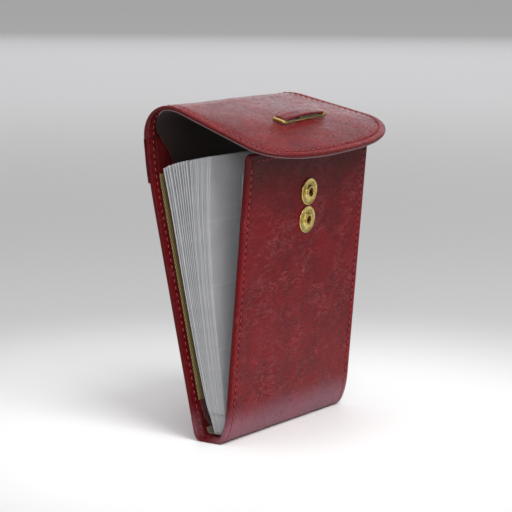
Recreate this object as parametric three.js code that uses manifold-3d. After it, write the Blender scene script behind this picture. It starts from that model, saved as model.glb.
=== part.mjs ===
// A pocket coin album: a stitched leather cover that stands open on its spine, a closing flap over the
// top, two press studs on the front cover, and a bound insert of clear pocket leaves fanned between the
// covers. Millimetres. +X is the album's width, +Y points to its back, +Z up.
import * as THREE from 'three';
import { mergeVertices } from 'three/addons/utils/BufferGeometryUtils.js';
import Module from 'manifold-3d';

const wasm = await Module();
wasm.setup();

// ---- driving dimensions ---------------------------------------------------------------------------
const WIDTH = 110;                 // across the covers and the flap
const HALF = WIDTH / 2;
const FRONT_LEAN = 4.95;           // degrees the front cover leans to the front
const BACK_LEAN = 12.2;            // degrees the back cover leans to the back
const FRONT_TOP = 144.5;           // height of the front cover's top edge
const BACK_TOP = 149.3;            // height of the back cover's top edge
const FOOT_FRONT = -3;             // the spine's flat foot, front and back edge
const FOOT_BACK = 9;
const BEND_HANDLE = 8;             // how gently the spine runs out into each cover
const LEATHER_AND_BOARD = 1.6;     // the outer leather with the stiffening board under it
const BACK_LEATHER = 0.8;
const FRONT_LEATHER = 1.2;         // firmer, because it carries the press studs
const LINING = 0.6;                // inner leather
const FLAP_LEATHER = 1.2;
const LAYER_GAP = 0.05;            // glue line between two layers
const BOARD_INSET = 3.5;           // the board stops short of the stitched edge
const CORNER = 4;                  // corner radius of the front cover
const STUD_DIAMETER = 13.9;
const STUD_DROPS = { upper_stud: 23.8, lower_stud: 38 };     // below the front cover's top edge
const FASTENER_X = 1.5;            // the studs and the badge sit a little right of the middle
const LEAVES = 23;
const BACK_BUNDLE = 9;             // leaves that stand together near the back cover
const BEND_STEPS = 8;              // flats round each bend of a layer
const RADIANS = Math.PI / 180;

// Depths of the layers under the outer face of a cover
const LINING_DEPTH = LEATHER_AND_BOARD + 2 * LAYER_GAP;
const COVER_THICKNESS = LINING_DEPTH + LINING;

const backAlong = new THREE.Vector2(Math.sin(BACK_LEAN * RADIANS), Math.cos(BACK_LEAN * RADIANS));
const frontAlong = new THREE.Vector2(-Math.sin(FRONT_LEAN * RADIANS), Math.cos(FRONT_LEAN * RADIANS));

// ---- materials and scene helpers ------------------------------------------------------------------
const finish = (color, roughness, metalness = 0, opacity = 1) =>
  new THREE.MeshStandardMaterial({ color, roughness, metalness, opacity, transparent: opacity < 1 });

const album = new THREE.Group();

function add(name, geometry, material, parent = album) {
  const mesh = new THREE.Mesh(geometry, material);
  mesh.name = name;
  parent.add(mesh);
  return mesh;
}

// The merged, position-only form that every solid here has
function weld(geometry) {
  geometry.deleteAttribute('normal');
  geometry.deleteAttribute('uv');
  return mergeVertices(geometry, 1e-5);
}

function toManifold(geometry) {
  const welded = weld(geometry.clone());
  const mesh = new wasm.Mesh({
    numProp: 3,
    vertProperties: new Float32Array(welded.attributes.position.array),
    triVerts: new Uint32Array(welded.index.array),
  });
  mesh.merge();
  return new wasm.Manifold(mesh);
}

function toGeometry(manifold) {
  const mesh = manifold.getMesh();
  const geometry = new THREE.BufferGeometry();
  geometry.setAttribute('position', new THREE.BufferAttribute(mesh.vertProperties, 3));
  geometry.setIndex(new THREE.BufferAttribute(mesh.triVerts, 1));
  return geometry;
}

const cut = (geometry, ...tools) =>
  toGeometry(tools.reduce((left, tool) => left.subtract(toManifold(tool)), toManifold(geometry)));
const join = (first, ...others) =>
  toGeometry(others.reduce((whole, piece) => whole.add(toManifold(piece)), toManifold(first)));

// Turns a solid inside out if its faces point inwards
function facingOut(geometry) {
  const at = geometry.attributes.position;
  const index = geometry.index.array;
  const [a, b, c] = [new THREE.Vector3(), new THREE.Vector3(), new THREE.Vector3()];
  let volume = 0;
  for (let i = 0; i < index.length; i += 3) {
    a.fromBufferAttribute(at, index[i]);
    b.fromBufferAttribute(at, index[i + 1]);
    c.fromBufferAttribute(at, index[i + 2]);
    volume += a.dot(b.cross(c));
  }
  if (volume < 0) index.reverse();
  return geometry;
}

// A solid turned about local +Z from half of its section, given as [radius, height] points
function turned(section, segments = 32) {
  const lathe = new THREE.LatheGeometry(section.map(([r, h]) => new THREE.Vector2(r, h)), segments);
  return facingOut(weld(lathe.rotateX(Math.PI / 2)));
}

// ---- sheets ---------------------------------------------------------------------------------------
// A thin sheet: a box with folds at the given stations, each of whose points place() carries to its
// spot, from how far across it is (-1 to 1), its station and its depth under the outer face
function sheet(stations, across, [outer, inner], place) {
  const box = new THREE.BoxGeometry(2, 1, 1, across, stations.length - 1, 1);
  const at = box.attributes.position;
  for (let i = 0; i < at.count; i += 1) {
    const station = stations[Math.round((at.getY(i) + 0.5) * (stations.length - 1))];
    const spot = place(at.getX(i), station, at.getZ(i) < 0 ? outer : inner);
    at.setXYZ(i, spot.x, spot.y, spot.z);
  }
  return facingOut(weld(box));
}

// Stations along an outline: one at each end of a straight stretch and several round each bend
function stationsOf(outline, from, to, extra = []) {
  const list = [from, to, ...extra];
  let start = 0;
  for (const curve of outline.curves) {
    const steps = curve.isLineCurve ? 1 : BEND_STEPS;
    for (let i = 1; i <= steps; i += 1) list.push(start + (curve.getLength() * i) / steps);
    start += curve.getLength();
  }
  const inside = list.filter((s) => s === from || s === to || (s > from + 0.4 && s < to - 0.4));
  return inside.sort((a, b) => a - b);
}

// Half the width of a sheet whose far corners are round
const roundedEnd = (half, end, radius) => (s) => {
  const into = Math.max(0, s - (end - radius));
  return half - radius + Math.sqrt(radius ** 2 - into ** 2);
};

// A layer of a cover: it follows the cover's outline at a depth under its outer face
function layer(outline, { from, to, depth, thickness, halfWidth, inwards, extra }) {
  const whole = outline.getLength();
  const place = (u, s, under) => {
    const point = outline.getPoint(s / whole);
    const along = outline.getTangent(s / whole);
    return {
      x: u * halfWidth(s),
      y: point.x - inwards * along.y * under,
      z: point.y + inwards * along.x * under,
    };
  };
  return sheet(stationsOf(outline, from, to, extra), 1, [depth, depth + thickness], place);
}

// ---- outlines of the outer faces, seen from the side ----------------------------------------------
// Back cover: the flat foot, the round of the spine, the leaning board and the upright top
const SPINE_BEND_END = new THREE.Vector2(14.2, 14);
const BACK_STRAIGHT_TOP = SPINE_BEND_END.clone().addScaledVector(backAlong, 100.3);
const BACK_TOP_Y = 40.7;
const backOutline = new THREE.Path();
backOutline.moveTo(FOOT_FRONT, 0);
backOutline.lineTo(FOOT_BACK, 0);
backOutline.bezierCurveTo(
  FOOT_BACK + 3, 0,
  SPINE_BEND_END.x - BEND_HANDLE * backAlong.x, SPINE_BEND_END.y - BEND_HANDLE * backAlong.y,
  SPINE_BEND_END.x, SPINE_BEND_END.y,
);
backOutline.lineTo(BACK_STRAIGHT_TOP.x, BACK_STRAIGHT_TOP.y);
backOutline.bezierCurveTo(
  BACK_STRAIGHT_TOP.x + 12 * backAlong.x, BACK_STRAIGHT_TOP.y + 12 * backAlong.y,
  BACK_TOP_Y, BACK_TOP - 12,
  BACK_TOP_Y, BACK_TOP,
);
const backLength = backOutline.getLength();
const backStraightStart = backOutline.curves[0].getLength() + backOutline.curves[1].getLength();

// Front cover: from the hinge line at the foot round the spine and up the leaning panel
const FRONT_BEND_END = new THREE.Vector2(-9.9, 17);
const frontPanelLength = (FRONT_TOP - FRONT_BEND_END.y) / frontAlong.y;
const frontPanelTop = FRONT_BEND_END.clone().addScaledVector(frontAlong, frontPanelLength);
const frontOutline = new THREE.Path();
frontOutline.moveTo(FOOT_FRONT, 0);
frontOutline.bezierCurveTo(
  FOOT_FRONT - 3.2, 0,
  FRONT_BEND_END.x - BEND_HANDLE * frontAlong.x, FRONT_BEND_END.y - BEND_HANDLE * frontAlong.y,
  FRONT_BEND_END.x, FRONT_BEND_END.y,
);
frontOutline.lineTo(frontPanelTop.x, frontPanelTop.y);
const frontLength = frontOutline.getLength();
const frontBendLength = frontOutline.curves[0].getLength();

// ---- back cover and spine -------------------------------------------------------------------------
const oxblood = finish(0x6e1520, 0.35);
const darkRed = finish(0x4a0f14, 0.5);
const greyBoard = finish(0x8a8478, 0.9);
const full = () => HALF;

add('back_cover_leather', layer(backOutline, {
  from: 0.45, to: backLength, depth: 0, thickness: BACK_LEATHER, halfWidth: full, inwards: 1,
}), oxblood);

add('back_cover_board', layer(backOutline, {
  from: backStraightStart, to: backLength - BOARD_INSET, depth: BACK_LEATHER + LAYER_GAP,
  thickness: LEATHER_AND_BOARD - BACK_LEATHER, halfWidth: () => HALF - BOARD_INSET, inwards: 1,
}), greyBoard);

add('back_cover_lining', layer(backOutline, {
  from: 1.2, to: backLength, depth: LINING_DEPTH, thickness: LINING, halfWidth: full, inwards: 1,
}), darkRed);

// ---- front cover ----------------------------------------------------------------------------------
const frontCorners = [3, 2, 1, 0.3].map((inset) => frontLength - CORNER * inset / 4);

// A tool that cuts a round hole through the front cover where a stud sits
const STUD_BORE = 2.2;
const panelTurn = new THREE.Matrix4().makeRotationX(FRONT_LEAN * RADIANS);
function panelSpot(drop, depth) {
  const point = frontPanelTop.clone().addScaledVector(frontAlong, -drop);
  return new THREE.Vector3(
    FASTENER_X, point.x + frontAlong.y * depth, point.y - frontAlong.x * depth,
  );
}
function studHole(drop) {
  const tool = new THREE.CylinderGeometry(STUD_BORE, STUD_BORE, 4 * COVER_THICKNESS, 24);
  const spot = panelSpot(drop, 0);
  return tool.applyMatrix4(panelTurn).translate(spot.x, spot.y, spot.z);
}
const studHoles = Object.values(STUD_DROPS).map(studHole);

const frontLeather = layer(frontOutline, {
  from: 0.25, to: frontLength, depth: 0, thickness: FRONT_LEATHER, inwards: -1,
  halfWidth: roundedEnd(HALF, frontLength, CORNER), extra: frontCorners,
});
add('front_cover_leather', cut(frontLeather, ...studHoles), oxblood);

const frontBoard = layer(frontOutline, {
  from: frontBendLength, to: frontLength - BOARD_INSET, depth: FRONT_LEATHER + LAYER_GAP,
  thickness: LEATHER_AND_BOARD - FRONT_LEATHER, halfWidth: () => HALF - BOARD_INSET, inwards: -1,
});
add('front_cover_board', cut(frontBoard, ...studHoles), greyBoard);

const frontLining = layer(frontOutline, {
  from: 0.7, to: frontLength, depth: LINING_DEPTH, thickness: LINING, inwards: -1,
  halfWidth: roundedEnd(HALF, frontLength, CORNER), extra: frontCorners,
});
add('front_cover_lining', cut(frontLining, ...studHoles), darkRed);

// ---- press studs ----------------------------------------------------------------------------------
const brass = finish(0xb8933f, 0.3, 1);
const STUD_RADIUS = STUD_DIAMETER / 2;
const STUD_SEAT = 0.1;             // clearance between the stud and the leather
const studSection = [
  [STUD_BORE, STUD_SEAT], [STUD_RADIUS - 0.3, STUD_SEAT], [STUD_RADIUS, STUD_SEAT + 0.25],
  [STUD_RADIUS - 0.25, 0.75], [STUD_RADIUS - 0.8, 0.75], [STUD_RADIUS - 1.1, 0.55], [3.9, 0.5],
  [3.3, 0.75], [3.05, 1.1], [3.3, 1.6], [2.9, 1.85], [2.35, 1.85], [STUD_BORE, 1.65],
  [STUD_BORE, STUD_SEAT],
];
const INNER_FACE = -(COVER_THICKNESS + STUD_SEAT);
const rivetSection = [
  [1.35, 1.5], [1.35, INNER_FACE - 0.35], [1.7, INNER_FACE - 0.5], [4.2, INNER_FACE - 0.4],
  [4.5, INNER_FACE - 0.2], [4.4, INNER_FACE], [1.95, INNER_FACE], [1.95, 1.5], [1.35, 1.5],
];
for (const [name, drop] of Object.entries(STUD_DROPS)) {
  const seat = new THREE.Group();
  seat.position.copy(panelSpot(drop, 0));
  seat.rotation.x = (90 + FRONT_LEAN) * RADIANS;
  album.add(seat);
  add(name, turned(studSection), brass, seat);
  add(`${name}_rivet`, turned(rivetSection, 24), brass, seat);
}

// ---- flap -----------------------------------------------------------------------------------------
// The flap rises from the back cover's top edge, arches over and slopes down past the front cover. It
// is a little twisted, lower at its left edge, and crowned across its middle.
const FLAP_FOOT = new THREE.Vector2(BACK_TOP_Y + LAYER_GAP + FLAP_LEATHER, BACK_TOP + 0.8);
const ARCH_END_Y = 19;             // where the arch runs out into the slope
const ARCH_END_Z = 163.8;
const ARCH_END_TWIST = 0.1;        // how much higher the arch ends at the left edge than in the middle
const FLAP_SLOPE = 16;             // degrees, in the middle
const FLAP_TWIST = 4.5;            // degrees steeper at the left edge, and flatter at the right one
const ARCH_RISE = 11.5;            // lengths of the arch's handles
const ARCH_RUN = 14;
const SLOPE_LENGTH = 40;           // from the arch to where the tip starts to narrow
const TIP_LENGTH = 27;
const TIP_DROOP = 3;
const DROOP_TWIST = 2.4;           // how much more the tip droops at the right edge than in the middle
const CROWN = 2.5;
const ARCH_STEPS = 12;
const SLOPE_STEPS = 5;
const TIP_STEPS = 9;
const FLAP_CORE = 0.35;
const FLAP_LINING = 0.6;

// A point of the flap's outer face. along is 0 to 1 over the arch, 1 to 2 down the slope, 2 to 3 to
// the tip.
function flapLine(x, along) {
  const side = x / HALF;
  const slope = (FLAP_SLOPE - FLAP_TWIST * side) * RADIANS;
  const down = new THREE.Vector2(-Math.cos(slope), -Math.sin(slope));
  const end = new THREE.Vector2(ARCH_END_Y, ARCH_END_Z - ARCH_END_TWIST * side);
  if (along <= 1) {
    const rise = new THREE.Vector2(FLAP_FOOT.x, FLAP_FOOT.y + ARCH_RISE);
    const run = end.clone().addScaledVector(down, -ARCH_RUN);
    return new THREE.CubicBezierCurve(FLAP_FOOT, rise, run, end).getPoint(along);
  }
  const sloped = Math.min(along - 1, 1);
  const tipped = Math.max(along - 2, 0);
  const point = end.addScaledVector(down, SLOPE_LENGTH * sloped + TIP_LENGTH * tipped);
  point.y += CROWN * (1 - side ** 2) * Math.sin((sloped * Math.PI) / 2);
  point.y -= (TIP_DROOP + DROOP_TWIST * side) * tipped ** 2;
  return point;
}

// Half the flap's width: full, then narrowing to the tip's shallow curve with its two round corners
function flapHalf(half, along) {
  const tipped = Math.max(along - 2, 0);
  return half * (1 - tipped ** 2.2) ** 0.4;
}

function flapPlace(half) {
  return (u, along, depth) => {
    const x = u * flapHalf(half, along);
    const point = flapLine(x, along);
    const step = 1e-3;
    const tangent = flapLine(x, along + step).sub(flapLine(x, Math.max(along - step, 0))).normalize();
    return { x, y: point.x - tangent.y * depth, z: point.y + tangent.x * depth };
  };
}

const flapStations = (from, end) => {
  const list = [];
  for (let i = 0; i <= ARCH_STEPS; i += 1) list.push(i / ARCH_STEPS);
  for (let i = 1; i <= SLOPE_STEPS; i += 1) list.push(1 + i / SLOPE_STEPS);
  for (let i = 1; i <= TIP_STEPS; i += 1) list.push(2 + end * Math.sin((i / TIP_STEPS) * Math.PI / 2));
  return list.filter((along) => along >= from);
};

const FLAP_CORE_DEPTH = FLAP_LEATHER + 2 * LAYER_GAP;
const FLAP_LINING_DEPTH = FLAP_CORE_DEPTH + FLAP_CORE + LAYER_GAP;
const flapThickness = FLAP_LINING_DEPTH + FLAP_LINING;

// The badge and the press socket share one spot in the middle of the flap
const BADGE_ALONG = 1.83;
const badgeLine = (x, along) => flapLine(FASTENER_X + x, BADGE_ALONG + along);
const badgePoint = badgeLine(0, 0);
const badgeSlope = badgeLine(0, 0.05).sub(badgeLine(0, -0.05)).angle();
const badgeTilt = (badgeLine(15, 0).y - badgeLine(-15, 0).y) / 30;
const badgeSeat = new THREE.Group();
badgeSeat.position.set(FASTENER_X, badgePoint.x, badgePoint.y);
badgeSeat.rotation.set(badgeSlope - Math.PI, -Math.atan(badgeTilt), 0);
badgeSeat.updateMatrix();
album.add(badgeSeat);

const SOCKET_BORE = 1.4;
function flapHole() {
  const tool = new THREE.CylinderGeometry(SOCKET_BORE, SOCKET_BORE, 4 * flapThickness, 20);
  return tool.rotateX(Math.PI / 2).applyMatrix4(badgeSeat.matrix);
}

const flapLayer = (half, from, end, depth, thickness) =>
  cut(sheet(flapStations(from, end), 10, [depth, depth + thickness], flapPlace(half)), flapHole());
const black = finish(0x17100f, 0.85);
add('flap_leather', flapLayer(HALF, 0, 0.997, 0, FLAP_LEATHER), oxblood);
add('flap_core', flapLayer(HALF - BOARD_INSET, 0.3, 0.9, FLAP_CORE_DEPTH, FLAP_CORE), greyBoard);
add('flap_lining', flapLayer(HALF, 0, 0.997, FLAP_LINING_DEPTH, FLAP_LINING), black);

// The flap's tail, sewn to the outside of the back cover
const TAIL_LENGTH = 23;
const TAIL_LEATHER = 0.8;          // pared thinner than the rest of the flap
add('flap_tail', layer(backOutline, {
  from: backLength - TAIL_LENGTH, to: backLength, depth: -LAYER_GAP - TAIL_LEATHER,
  thickness: TAIL_LEATHER, halfWidth: full, inwards: 1,
}), oxblood);

// ---- press socket under the flap ------------------------------------------------------------------
const SOCKET_TOP = -(flapThickness + 0.3);
const socketSection = [
  [SOCKET_BORE, SOCKET_TOP], [SOCKET_BORE, SOCKET_TOP - 0.5], [3.5, SOCKET_TOP - 0.5],
  [3.5, SOCKET_TOP - 2.1], [4.3, SOCKET_TOP - 2.5], [5, SOCKET_TOP - 2.3], [5.2, SOCKET_TOP - 0.7],
  [6.2, SOCKET_TOP - 0.4], [6.2, SOCKET_TOP], [SOCKET_BORE, SOCKET_TOP],
];
add('press_socket', turned(socketSection), brass, badgeSeat);
const capSection = [
  [0, 0.9], [1.6, 0.75], [2.2, 0.45], [2.2, 0.25], [1.15, 0.25], [1.15, SOCKET_TOP - 0.7],
  [2.3, SOCKET_TOP - 0.8], [2.3, SOCKET_TOP - 1.1], [0, SOCKET_TOP - 1.1],
];
add('socket_rivet', turned(capSection, 24), brass, badgeSeat);

// ---- badge on the flap: a leather strip bowed between the ends of a brass frame ----------------------
const BADGE_LENGTH = 38.5;
const BADGE_WIDTH = 7.4;
const BADGE_RAIL = 1.1;
const BADGE_CLAMP = 3;
const BADGE_LIFT = 0.3;
function box(x, y, z, [cx, cy, cz]) {
  return new THREE.BoxGeometry(x, y, z).translate(cx, cy, cz);
}
const rails = [-1, 1].map((side) =>
  box(BADGE_LENGTH, BADGE_RAIL, 0.9, [0, side * (BADGE_WIDTH - BADGE_RAIL) / 2, BADGE_LIFT + 0.45]));
const clamps = [-1, 1].map((side) =>
  box(BADGE_CLAMP, BADGE_WIDTH, 1.8, [side * (BADGE_LENGTH - BADGE_CLAMP) / 2, 0, BADGE_LIFT + 0.9]));
add('badge_frame', join(...rails, ...clamps), brass, badgeSeat);

const STRIP_HALF = BADGE_LENGTH / 2 - BADGE_CLAMP - 0.15;
const STRIP_BOW = 1.2;
const STRIP_THICKNESS = 1.4;
const STRIP_WIDTH = 6.9;            // it covers the rails
const stripStations = Array.from({ length: 13 }, (_, i) => -1 + i / 6);
const strip = sheet(stripStations, 1, [STRIP_THICKNESS, 0], (u, along, height) => ({
  x: along * STRIP_HALF,
  y: (u * STRIP_WIDTH) / 2,
  z: BADGE_LIFT + 1 + height + STRIP_BOW * (1 - along ** 2),
}));
add('badge_strip', strip, oxblood, badgeSeat);

// ---- insert: binding, tape, pocket and clear sheets -----------------------------------------------
const clear = finish(0xd9dedd, 0.15, 0, 0.35);
const BINDING_BACK = 3.4;
const BINDING_FRONT = -1.9;

// A woven tape laid in the fold of the spine, under the insert's binding
const TAPE = 0.2;
const TAPE_HALF = 46.5;
const TAPE_DEPTH = COVER_THICKNESS + 2 * LAYER_GAP;
add('spine_tape', layer(backOutline, {
  from: 1.5, to: backStraightStart - 2, depth: TAPE_DEPTH, thickness: TAPE,
  halfWidth: () => TAPE_HALF, inwards: 1,
}), finish(0xb09a7c, 0.9));

const bindingBase = TAPE_DEPTH + TAPE + LAYER_GAP;
const BINDING_HEIGHT = 1.1;
const LEAF_HALF = 49;
add('insert_binding', box(2 * LEAF_HALF, BINDING_BACK - BINDING_FRONT, BINDING_HEIGHT,
  [0, (BINDING_BACK + BINDING_FRONT) / 2, bindingBase + BINDING_HEIGHT / 2]), clear);

// The insert's clear back sheet bows up out of the binding and slips into a twill pocket
const SHEET = 0.2;
const POCKET = 0.25;
const POCKET_LENGTH = 114;
const sheetDepth = COVER_THICKNESS + LAYER_GAP;
const pocketStart = backStraightStart + 5;
const pocketEnd = pocketStart + POCKET_LENGTH;
add('back_pocket', layer(backOutline, {
  from: pocketStart, to: pocketEnd, depth: sheetDepth + SHEET + LAYER_GAP, thickness: POCKET,
  halfWidth: () => LEAF_HALF + 0.5, inwards: 1,
}), finish(0x6f6230, 0.9));
const sheetRise = backOutline.getPoint((pocketStart - 2) / backLength);
const sheetFoot = new THREE.Vector2(BINDING_BACK + 0.2, bindingBase + 0.3);
const sheetJoin = new THREE.Vector2(
  sheetRise.x - backAlong.y * sheetDepth, sheetRise.y + backAlong.x * sheetDepth,
);
const sheetTop = sheetJoin.clone().addScaledVector(backAlong, 90);
const clearOutline = new THREE.Path();
clearOutline.moveTo(sheetFoot.x, sheetFoot.y);
clearOutline.bezierCurveTo(
  sheetFoot.x + 2, sheetFoot.y + 2,
  sheetJoin.x - BEND_HANDLE * backAlong.x, sheetJoin.y - BEND_HANDLE * backAlong.y,
  sheetJoin.x, sheetJoin.y,
);
clearOutline.lineTo(sheetTop.x, sheetTop.y);
add('insert_back_sheet', layer(clearOutline, {
  from: 0, to: clearOutline.getLength(), depth: 0, thickness: SHEET,
  halfWidth: () => LEAF_HALF - 1, inwards: 1,
}), clear);

// ---- leaves ---------------------------------------------------------------------------------------
// Each leaf turns about its own line in the binding. The lines lie side by side across the spine, and
// the leaf's stiff part starts a little above its line, past the film that bends.
const LEAF = 0.12;
const LEAF_PITCH = 0.3;
const LEAF_LINE_Z = 4.5;
const FIRST_LEAF_Y = 3;
const FILM = 9.5;
const LEAF_HEIGHT = 137.4;         // from its line to its top edge, for a leaf at the front
const LEAF_STEP_DOWN = 3.2;        // how much shorter the leaves get to the rear
const LAST_STEP_DOWN = 1.2;        // and how much more the last few do
const BACK_LEANS = [13.5, 8.4];    // degrees, rearmost and foremost leaf of the back bundle
const FRONT_LEANS = [7.6, 4.3];    // the same for the front bundle
const FRONT_SHEET_LEAN = -4.4;
const FRONT_SHEET_HEIGHT = 130;    // the clear sheet in front of the leaves is shorter than they are

const between = (low, high, share) => low + (high - low) * share;

function leafLean(index) {
  if (index < BACK_BUNDLE) return between(...BACK_LEANS, index / (BACK_BUNDLE - 1));
  return between(...FRONT_LEANS, (index - BACK_BUNDLE) / (LEAVES - 1 - BACK_BUNDLE));
}

function leafHeight(index) {
  const rear = 1 - index / (LEAVES - 1);
  return LEAF_HEIGHT - LEAF_STEP_DOWN * rear - LAST_STEP_DOWN * rear ** 10;
}

function addLeaf(name, index, lean, height) {
  const film = new THREE.BoxGeometry(2 * LEAF_HALF, LEAF, height - FILM);
  const leaf = add(name, film.translate(0, 0, (height + FILM) / 2), clear);
  leaf.position.set(0, FIRST_LEAF_Y - LEAF_PITCH * index, LEAF_LINE_Z);
  leaf.rotation.x = -lean * RADIANS;
}
for (let index = 0; index < LEAVES; index += 1) {
  addLeaf(`leaf_${String(index + 1).padStart(2, '0')}`, index, leafLean(index), leafHeight(index));
}
addLeaf('insert_front_sheet', LEAVES, FRONT_SHEET_LEAN, FRONT_SHEET_HEIGHT);

// ---- origin: under the middle of the album's box, on the surface it stands on ----------------------
const bounds = new THREE.Box3().setFromObject(album, true);
album.position.set(0, -(bounds.min.y + bounds.max.y) / 2, -bounds.min.z);

export default album;
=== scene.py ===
"""Looks of a pocket coin album: a stitched oxblood leather cover that stands open on its spine, its
closing flap, brass press studs and badge, and the fan of clear pocket leaves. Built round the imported
CAD frame. Lengths are in millimetres in the side view (y to the back, z up) until metres() places them."""
import math
import random

import bmesh
import bpy
import numpy as np
from mathutils import Matrix, Vector, noise


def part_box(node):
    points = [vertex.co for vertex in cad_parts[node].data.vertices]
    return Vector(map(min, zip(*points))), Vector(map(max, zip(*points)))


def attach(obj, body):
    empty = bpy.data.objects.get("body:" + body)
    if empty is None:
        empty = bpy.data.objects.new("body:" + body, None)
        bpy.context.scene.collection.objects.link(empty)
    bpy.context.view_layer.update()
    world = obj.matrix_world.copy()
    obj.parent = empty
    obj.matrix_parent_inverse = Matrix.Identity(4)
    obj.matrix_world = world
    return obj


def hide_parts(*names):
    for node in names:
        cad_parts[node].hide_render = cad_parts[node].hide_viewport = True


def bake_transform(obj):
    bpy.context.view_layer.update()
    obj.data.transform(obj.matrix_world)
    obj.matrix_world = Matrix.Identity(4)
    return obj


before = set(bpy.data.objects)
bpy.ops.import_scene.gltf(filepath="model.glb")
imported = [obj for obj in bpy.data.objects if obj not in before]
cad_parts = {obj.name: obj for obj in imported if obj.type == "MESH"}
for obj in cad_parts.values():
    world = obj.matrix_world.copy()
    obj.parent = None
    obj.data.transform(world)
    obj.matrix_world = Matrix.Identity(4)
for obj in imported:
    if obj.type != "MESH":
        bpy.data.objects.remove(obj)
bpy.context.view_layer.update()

MM = 0.001

# ---- dimensions shared with the frame ----
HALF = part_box("back_cover_leather")[1].x / MM
BACK_TOP = np.array([40.7, 149.3])  # the back cover's top edge, outer face
SHIFT_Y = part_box("back_cover_leather")[1].y / MM - BACK_TOP[0]
FOOT_FRONT, FOOT_BACK = -3.0, 9.0
FRONT_LEAN = math.radians(4.95)
BACK_LEAN = math.radians(12.2)
FRONT_TOP_Z = 144.5
SPINE_END = np.array([14.2, 14.0])  # where the spine's bend runs out into the back cover
FRONT_BEND_END = np.array([-9.9, 17.0])  # and into the front cover
BEND_HANDLE = 8.0  # how gently it does so
BACK_FLAT = 100.3  # the flat part of the back cover, above the bend
COVER = 2.3  # thickness of a cover
LINING = 0.6
BORDER = 6.3  # width of the turned leather border inside a cover
CORNER = 4.0
STITCH_INSET = 3.7
STITCH_PITCH = 3.5
TAIL_LENGTH = 23.0
FASTENER_X = 1.5  # the studs and the badge sit a little to the right
TAIL_LEATHER = 0.8
FLAP_LEATHER = 1.9
FLAP_LINING = 0.5

FRONT_ALONG = np.array([-math.sin(FRONT_LEAN), math.cos(FRONT_LEAN)])
BACK_ALONG = np.array([math.sin(BACK_LEAN), math.cos(BACK_LEAN)])


def metres(points):
    """Millimetre points (x, y, z) of the side-view frame as metres of the row frame."""
    return (np.asarray(points, float) + [0.0, SHIFT_Y, 0.0]) * MM


def smoothstep(low, high, value):
    t = np.clip((np.asarray(value, float) - low) / (high - low), 0.0, 1.0)
    return t * t * (3.0 - 2.0 * t)


def bump(value, centre, width):
    return np.exp(-(((np.asarray(value, float) - centre) / width) ** 2))


def cubic(p0, p1, p2, p3, t):
    return (1 - t) ** 3 * p0 + 3 * t * (1 - t) ** 2 * p1 + 3 * t * t * (1 - t) * p2 + t**3 * p3


def bezier(p0, p1, p2, p3, count):
    points = (np.asarray(p, float) for p in (p0, p1, p2, p3))
    return cubic(*points, np.linspace(0.0, 1.0, count + 1)[:, None])


def lengths_along(points):
    """How far each point lies from the first, along the line through them."""
    return np.r_[0.0, np.cumsum(np.linalg.norm(np.diff(points, axis=0), axis=1))]


def over_row(values, grid):
    """One value for each row of a grid, repeated over the row."""
    return np.repeat(values[:, None], grid.shape[1], 1)


def waves(x, s, length, seed):
    """Smooth noise over a surface, about -1 to 1, with bumps of the given length."""
    flat = zip(np.ravel(x) / length, np.ravel(s) / length)
    found = [noise.noise(Vector((u, v, seed * 7.31))) for u, v in flat]
    return np.array(found).reshape(np.shape(x))


class Outline:
    """A line in the side view, measured by its length. Its inward side is to its right."""

    def __init__(self, points, step=0.25, soften=0.0):
        points = np.asarray(points, float)
        keep = np.r_[True, np.linalg.norm(np.diff(points, axis=0), axis=1) > 1e-6]
        self._measure(points[keep])
        grid = np.arange(0.0, self.length, step)
        even = self.at(np.r_[grid, self.length])
        if soften:
            reach = int(3 * soften / step)
            kernel = np.exp(-0.5 * (np.arange(-reach, reach + 1) * step / soften) ** 2)
            padded = np.pad(even, ((reach, reach), (0, 0)), mode="reflect", reflect_type="odd")
            kernel /= kernel.sum()
            even = np.stack([np.convolve(padded[:, k], kernel, "valid") for k in (0, 1)], 1)
        self._measure(even)

    def _measure(self, points):
        self.points = points
        self.run = lengths_along(points)
        self.length = self.run[-1]

    def at(self, s):
        return np.stack([np.interp(s, self.run, self.points[:, k]) for k in (0, 1)], -1)

    def along(self, s, reach=0.4):
        s = np.asarray(s, float)
        step = self.at(np.minimum(s + reach, self.length)) - self.at(np.maximum(s - reach, 0.0))
        return step / np.linalg.norm(step, axis=-1, keepdims=True)

    def inward(self, s):
        along = self.along(s)
        return np.stack([along[..., 1], -along[..., 0]], -1)

    def place(self, x, s, depth):
        """Points at x across, s along and depth under the outer face."""
        x, s, depth = np.broadcast_arrays(x, s, depth)
        flat = self.at(s) + self.inward(s) * depth[..., None]
        return np.stack([x, flat[..., 0], flat[..., 1]], -1)

    def nearest(self, point):
        return self.run[np.argmin(np.linalg.norm(self.points - point, axis=1))]


# ---- the cover's outline, from the back cover's top edge round the spine to the front's top edge ----
def cover_points():
    flat_top = SPINE_END + BACK_FLAT * BACK_ALONG
    back = np.vstack([
        bezier((FOOT_BACK, 0), (FOOT_BACK + 3, 0), SPINE_END - BEND_HANDLE * BACK_ALONG, SPINE_END, 40),
        bezier(flat_top, flat_top + 12 * BACK_ALONG, BACK_TOP - [0, 12], BACK_TOP, 60),
    ])
    top = FRONT_BEND_END + FRONT_ALONG * (FRONT_TOP_Z - FRONT_BEND_END[1]) / FRONT_ALONG[1]
    front = np.vstack([
        bezier((FOOT_FRONT, 0), (FOOT_FRONT - 3.2, 0), FRONT_BEND_END - BEND_HANDLE * FRONT_ALONG,
               FRONT_BEND_END, 40),
        [top],
    ])
    return np.vstack([back[::-1], front])


cover = Outline(cover_points(), soften=1.3)
SPINE_S = cover.nearest([FOOT_FRONT, 0.0])


def bend_covers(piece):
    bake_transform(piece)
    return piece


def bend_flap(piece):
    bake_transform(piece)
    return piece


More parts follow.
